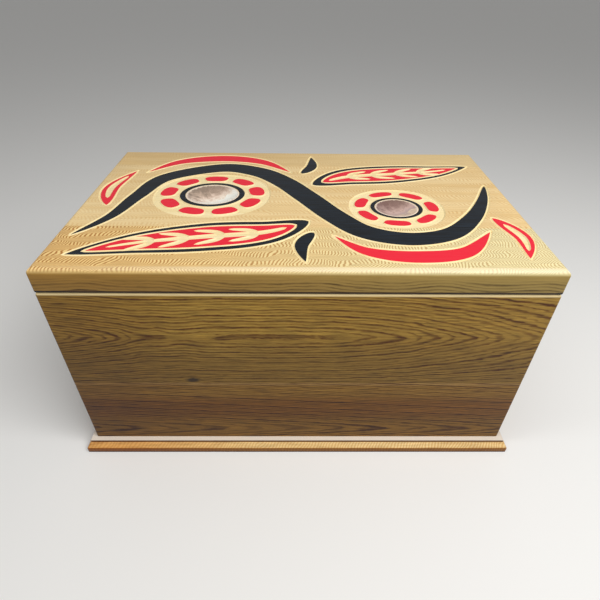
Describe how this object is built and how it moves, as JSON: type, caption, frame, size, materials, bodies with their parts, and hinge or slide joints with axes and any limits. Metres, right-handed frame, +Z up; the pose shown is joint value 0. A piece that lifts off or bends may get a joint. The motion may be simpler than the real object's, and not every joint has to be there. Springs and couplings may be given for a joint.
{
  "type": "lidded wooden chest",
  "caption": "Varnished cedar chest with a moulded base and a thick lift-off slab lid, ornamented with carved and painted leaves and inlaid shells.",
  "frame": {"origin": "centre of the footprint, on the surface that the chest stands on", "axes": "+Z up, +X along the length to the right of someone facing the front, which faces -Y"},
  "size_m": [0.794, 0.502, 0.403],
  "materials": {
    "lid_wood": "clear satin varnish, with red and blue-black painted ornament",
    "wall_wood": "clear satin varnish",
    "base_wood": "clear satin varnish",
    "rim_wood": "planed, thin varnish",
    "spline_wood": "bare",
    "shell_nacre": "polished nacre, silver to mauve",
    "screw_steel": "bright zinc plate"
  },
  "bodies": {
    "chest": {"front_upper_board": "wall_wood", "front_lower_board": "wall_wood", "back_upper_board": "wall_wood", "back_lower_board": "wall_wood", "left_upper_board": "wall_wood", "left_lower_board": "wall_wood", "right_upper_board": "wall_wood", "right_lower_board": "wall_wood", "corner_spline_front_left": "spline_wood", "corner_spline_front_right": "spline_wood", "corner_spline_back_left": "spline_wood", "corner_spline_back_right": "spline_wood", "base_front_board": "base_wood", "base_middle_board": "base_wood", "base_back_board": "base_wood", "base_screw_1": "screw_steel", "base_screw_2": "screw_steel", "base_screw_3": "screw_steel", "base_screw_4": "screw_steel", "base_screw_5": "screw_steel", "base_screw_6": "screw_steel", "base_screw_7": "screw_steel", "base_screw_8": "screw_steel", "base_screw_9": "screw_steel", "base_screw_10": "screw_steel", "base_screw_11": "screw_steel", "base_screw_12": "screw_steel"},
    "lid": {"lid_front_board": "lid_wood", "lid_middle_board": "lid_wood", "lid_back_board": "lid_wood", "lid_shell_large": "shell_nacre", "lid_shell_small": "shell_nacre", "lid_rim_front": "rim_wood", "lid_rim_back": "rim_wood", "lid_rim_left": "rim_wood", "lid_rim_right": "rim_wood", "rim_screw_1": "screw_steel", "rim_screw_2": "screw_steel", "rim_screw_3": "screw_steel", "rim_screw_4": "screw_steel", "rim_screw_5": "screw_steel", "rim_screw_6": "screw_steel", "rim_screw_7": "screw_steel", "rim_screw_8": "screw_steel", "rim_screw_9": "screw_steel", "rim_screw_10": "screw_steel", "rim_screw_11": "screw_steel", "rim_screw_12": "screw_steel"}
  },
  "joints": [
    {"name": "lid_lift", "type": "slide", "parent": "chest", "child": "lid", "axis": [0, 0, 1], "range_m": [0, 0.3]}
  ]
}
